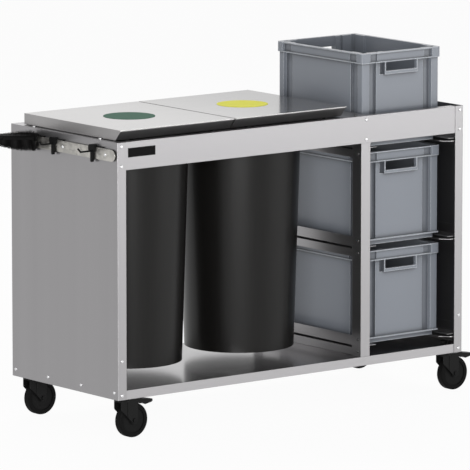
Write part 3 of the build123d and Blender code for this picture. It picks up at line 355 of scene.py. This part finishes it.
def vinyl(deep, light):
    """Matt vinyl between two close tones, with a fine tooth."""

    def varied(place):
        tooth = place.noise(800, 3.0)
        return {
            "Base Color": tooth.blend(deep, light),
            "Roughness": 0.58 + 0.12 * tooth,
            "Normal": tooth.relief(0.0004, 0.00001),
        }

    return varied


wear(finish("brushed_lid", {"Metallic": 1.0}, brushed_lid), "lid_left", "lid_right")
green = vinyl((0.021, 0.098, 0.058, 1), (0.026, 0.110, 0.066, 1))
yellow = vinyl((0.85, 0.825, 0.084, 1), (0.91, 0.885, 0.104, 1))
wear(finish("green_vinyl", {"Specular IOR Level": 0.1}, green), "lid_disc_left")
wear(finish("yellow_vinyl", {"Specular IOR Level": 0.1}, yellow), "lid_disc_right")
hinge_steel = satin_steel("hinge_steel", (20, 900, 900), grey(0.40), (0.50, 0.50, 0.49, 1))
for side in ("left", "right"):
    wear(hinge_steel, "hinge_frame_leaf_" + side, "hinge_lid_leaf_" + side, "hinge_pin_" + side)
wear(rubber, "lid_bumpers")


# Three grey stacking crates on the rack.
# Injection-moulded polypropylene with a soft gloss and a fine skin. The outer edges carry a painted
# highlight, and the grooves and corners of the outer walls carry painted shade.
CRATE_AXIS = (0.5309, 0, 0)
SHADE_REACH = 0.035
HIGHLIGHT_EDGE = 0.003


def crate_plastic(place):
    skin = place.noise(1500, 2.0)
    outwards = (place * (1, 1, 0) - CRATE_AXIS).dot(place.facing()).between(-0.03, -0.005)
    open_wall = 1 - outwards * (1 - place.openness(SHADE_REACH))
    wall = skin.blend((0.205, 0.222, 0.252, 1), (0.222, 0.240, 0.272, 1))
    # Painted shade: grooves, corners and recesses of the outer walls are painted dark where they are
    # occluded.
    painted_groove_shade = skin.blend((0.088, 0.096, 0.110, 1), (0.100, 0.108, 0.124, 1))
    shaded_wall = open_wall.between(0.70, 0.96).blend(painted_groove_shade, wall)
    # Painted highlight: the outer edges are painted pale.
    painted_light = place.edge(HIGHLIGHT_EDGE).between(0.01, 0.10) * open_wall.between(0.60, 0.85) * outwards
    return {
        "Base Color": painted_light.blend(shaded_wall, (0.64, 0.67, 0.71, 1)),
        "Roughness": 0.26 + 0.06 * skin,
        "Normal": skin.relief(0.0020, 0.000012),
    }


crate_finish = finish("crate_plastic", {"Specular IOR Level": 0.4}, crate_plastic)
wear(crate_finish, "crate_top", "crate_middle", "crate_bottom")


# A small black plate on the front rail, left bare.
# Anodised sheet, stuck on, with a satin face.
def black_plate(place):
    satin = (place * (60, 60, 1500)).noise(1.0, 3.0)
    return {
        "Base Color": satin.blend(grey(0.003), grey(0.006)),
        "Roughness": 0.30 + 0.12 * satin,
        "Normal": satin.relief(0.0003, 0.00001),
    }


wear(finish("black_plate", {"Specular IOR Level": 0.04}, black_plate), "blank_plate")


# The tool strip, its spacers and the clip hooks that slide on it.
# A galvanised flat bar with a cloudy zinc skin and drawn streaks. The hooks are moulded black nylon.
def galvanised(place):
    spangle = place.noise(48, 3.0).between(0.36, 0.64)
    streak = (place * (90, 30, 90)).noise(1.0, 3.0).between(0.52, 0.68)
    tone = 0.5 * spangle + 0.5 * (1 - streak)
    return {
        "Base Color": tone.blend((0.24, 0.235, 0.22, 1), (0.52, 0.505, 0.475, 1)),
        "Roughness": 0.30 + 0.20 * spangle,
        "Normal": spangle.relief(0.0005, 0.00003),
    }


galvanised_bar = finish("galvanised", {"Metallic": 1.0}, galvanised)
wear(galvanised_bar, "tool_strip", "strip_spacers")
wear(nylon, "tool_hook_front", "tool_hook_middle", "brush_hook")


# The hand brush on the last clip: a moulded block and handle with rows of stiff bristle set in it.
# Black nylon and black synthetic fibre. Each strand leans outwards from the block and bends at its tip.
BRUSH_START = (-0.5684146, 0.1310, 0.833)
BRUSH_TILT = math.radians(4.5)
BLOCK_LENGTH = 0.118
BLOCK_HALF = 0.021
BLOCK_UNDER = -0.007
NOSE = 0.00085
STRANDS = 3600
STRAND_LENGTH = 0.030
STRAND_RADIUS = 0.00045
TRIM = 0.015
TRIM_REACH = 0.070
RINGS = 4
SIDES = 3
WALKS = (0.754877666, 0.569840291, 0.618033989)
LEAN_WALK = 0.4142135


def bristle_field():
    """Strands as three-sided spikes. Strand i stands at step i of irrational walks over the block, two in
    three under it and one in three round its sides and top. Its ring at share t of the length sits at
    root + t*length*lean, bent further out by three tenths of t cubed, and is narrower towards the tip."""
    i = np.arange(STRANDS)
    u, v, w = ((0.5 + i * walk) % 1 for walk in WALKS)
    over = i % 3 == 0
    x = NOSE + 0.002 + u * (BLOCK_LENGTH - 0.004)
    half = np.sqrt(np.clip(BLOCK_HALF**2 - np.minimum(x - NOSE - BLOCK_HALF, 0) ** 2, 0, None)) - 0.0015
    round_over = np.pi * v
    root_y = np.where(over, half * np.cos(round_over), (2 * v - 1) * half)
    root_z = np.where(over, -BLOCK_UNDER * np.sin(round_over), BLOCK_UNDER)
    tuft = 0.10 * np.sin(x * 700 + 3 * np.sin(root_y * 300))
    spread = 0.26 * (x - BLOCK_LENGTH / 2) / (BLOCK_LENGTH / 2) + tuft + 0.3 * (w - 0.5)
    trim = TRIM * np.clip(1 - (NOSE + BLOCK_LENGTH - x) / TRIM_REACH, 0, None)
    length = np.where(over, (0.011 - 0.010 * u) * (0.5 + w), STRAND_LENGTH - trim + 0.006 * (w - 0.55))
    lean_y = 0.30 * root_y / BLOCK_HALF + 0.16 * ((i * LEAN_WALK) % 1 - 0.5)
    lean = np.stack([
        np.where(over, 2 * spread, spread),
        np.where(over, np.cos(round_over), lean_y),
        np.where(over, np.sin(round_over), -1.0),
    ])[:, :, None, None]
    t = np.linspace(0, 1, RINGS)[None, :, None]
    turn = 2 * np.pi * (np.arange(SIDES) / SIDES + u[:, None, None])
    reach = t * length[:, None, None]
    bent = reach * (1 + 0.3 * t**2)
    radius = STRAND_RADIUS * (1 - 0.7 * t)
    points = np.stack([
        x[:, None, None] + bent * lean[0] + radius * np.cos(turn),
        root_y[:, None, None] + bent * lean[1] + radius * np.sin(turn),
        root_z[:, None, None] + reach * lean[2] + radius * np.sin(turn + 1),
    ], axis=-1)
    level, side = np.indices((RINGS - 1, SIDES)).reshape(2, -1)
    low = level * SIDES + side
    beside = level * SIDES + (side + 1) % SIDES
    quads = np.stack([low, low + SIDES, beside + SIDES, beside], axis=-1)
    base = (i * RINGS * SIDES)[:, None, None]
    return points.reshape(-1, 3), (quads + base).reshape(-1, 4)


def on_the_peg(points):
    """From the brush's own axes, along its length, to its place on the peg, tilted up outwards."""
    c, s = math.cos(BRUSH_TILT), math.sin(BRUSH_TILT)
    along, across, up = -points[:, 0], -points[:, 1], points[:, 2]
    turned = np.stack([along * c + up * s, across, up * c - along * s], axis=-1)
    return turned + np.array(BRUSH_START)


def placed(name, points, faces, material):
    """A mesh piece that stands where its points are."""
    mesh = bpy.data.meshes.new(name)
    mesh.from_pydata(points.tolist(), [], faces.tolist())
    mesh.materials.append(material)
    piece = bpy.data.objects.new(name, mesh)
    bpy.context.scene.collection.objects.link(piece)
    return piece


def fibre(place):
    shade = place.noise(400, 2.0)
    return {
        "Base Color": shade.blend(grey(0.004), (0.014, 0.013, 0.013, 1)),
        "Roughness": 0.55 + 0.2 * shade,
    }


strands, strand_faces = bristle_field()
stiff_fibre = finish("fibre", {"Specular IOR Level": 0.1}, fibre)
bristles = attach(placed("bristle_field", on_the_peg(strands), strand_faces, stiff_fibre), "brush")
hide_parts("brush_bristles")
wear(nylon, "brush_body")


# The studio: a pale floor that runs out of sight, a white surround, and soft lamps.
# The camera stands to the front left, far off, a little above the lids.
FLOOR_REACH = 60.0
FLOOR_TONE = (0.86, 0.86, 0.86, 1)
WHITE = (1, 1, 1, 1)
FLOOR_GLOW = 0.95
SKY_LIGHT = 0.40


def seen(tree):
    """1 for rays that see the surround, straight or in a reflection, and 0 for those that only carry
    light."""
    path = tree.nodes.new("ShaderNodeLightPath")
    straight, mirrored, through = (
        Socket(tree, path.outputs["Is " + kind + " Ray"]) for kind in ("Camera", "Glossy", "Transmission")
    )
    return straight.math("MAXIMUM", straight.math("MAXIMUM", straight, mirrored), through)


paper = bpy.data.materials.new("pale_floor")
paper.use_nodes = True
tree = paper.node_tree
tree.nodes.clear()
view = seen(tree)
matt = view.node("BsdfDiffuse", {}, {"Color": FLOOR_TONE})
white = view.node("Emission", {}, {"Color": WHITE, "Strength": 1.0})
both = view.node("MixShader", {}, {0: FLOOR_GLOW * view, 1: matt, 2: white})
tree.links.new(both.output, tree.nodes.new("ShaderNodeOutputMaterial").inputs["Surface"])
corners = FLOOR_REACH * np.array([(-1, -1, 0), (1, -1, 0), (1, 1, 0), (-1, 1, 0)])
floor = placed("floor", corners, np.array([(0, 1, 2, 3)]), paper)

world = bpy.data.worlds.new("surround")
world.use_nodes = True
bpy.context.scene.world = world
tree = world.node_tree
sky = SKY_LIGHT + (1 - SKY_LIGHT) * seen(tree)
tree.links.new(sky.output, tree.nodes["Background"].inputs["Strength"])
tree.nodes["Background"].inputs["Color"].default_value = WHITE


def softbox(name, place, aim, wide, tall, watts):
    """A broad lamp that faces a point."""
    lamp = bpy.data.lights.new(name, "AREA")
    lamp.shape = "RECTANGLE"
    lamp.size = wide
    lamp.size_y = tall
    lamp.energy = watts
    stand = bpy.data.objects.new(name, lamp)
    stand.location = place
    stand.rotation_euler = (Vector(aim) - Vector(place)).to_track_quat("-Z", "Y").to_euler()
    stand.visible_camera = False
    bpy.context.scene.collection.objects.link(stand)


softbox("right_lamp", (7.6, -9.5, 0.7), (0.2, 0, 0.4), 7.0, 1.4, 205)
softbox("left_lamp", (-3.8, -5.2, 1.4), (0.2, 0, 0.5), 3.6, 2.4, 300)
softbox("rear_lamp", (2.2, 3.4, 4.6), (0, 0, 0.7), 4.0, 2.4, 110)

CAMERA_PLACE = (-10.1491, -13.0273, 3.1508)
YAW = 0.66478
PITCH = -0.15808
forward = Vector((math.sin(YAW) * math.cos(PITCH), math.cos(YAW) * math.cos(PITCH), math.sin(PITCH)))
right = Vector((math.cos(YAW), -math.sin(YAW), 0))
up = right.cross(forward)
lens = bpy.data.cameras.new("camera")
lens.sensor_width = 36.0
lens.lens = 438.84
lens.shift_x, lens.shift_y = 0.00267, -0.0079
lens.clip_end = 200.0
camera = bpy.data.objects.new("camera", lens)
turned = Matrix((right, up, -forward)).transposed().to_4x4()
camera.matrix_world = Matrix.Translation(CAMERA_PLACE) @ turned
bpy.context.scene.collection.objects.link(camera)
bpy.context.scene.camera = camera
bpy.context.scene.view_settings.view_transform = "Standard"
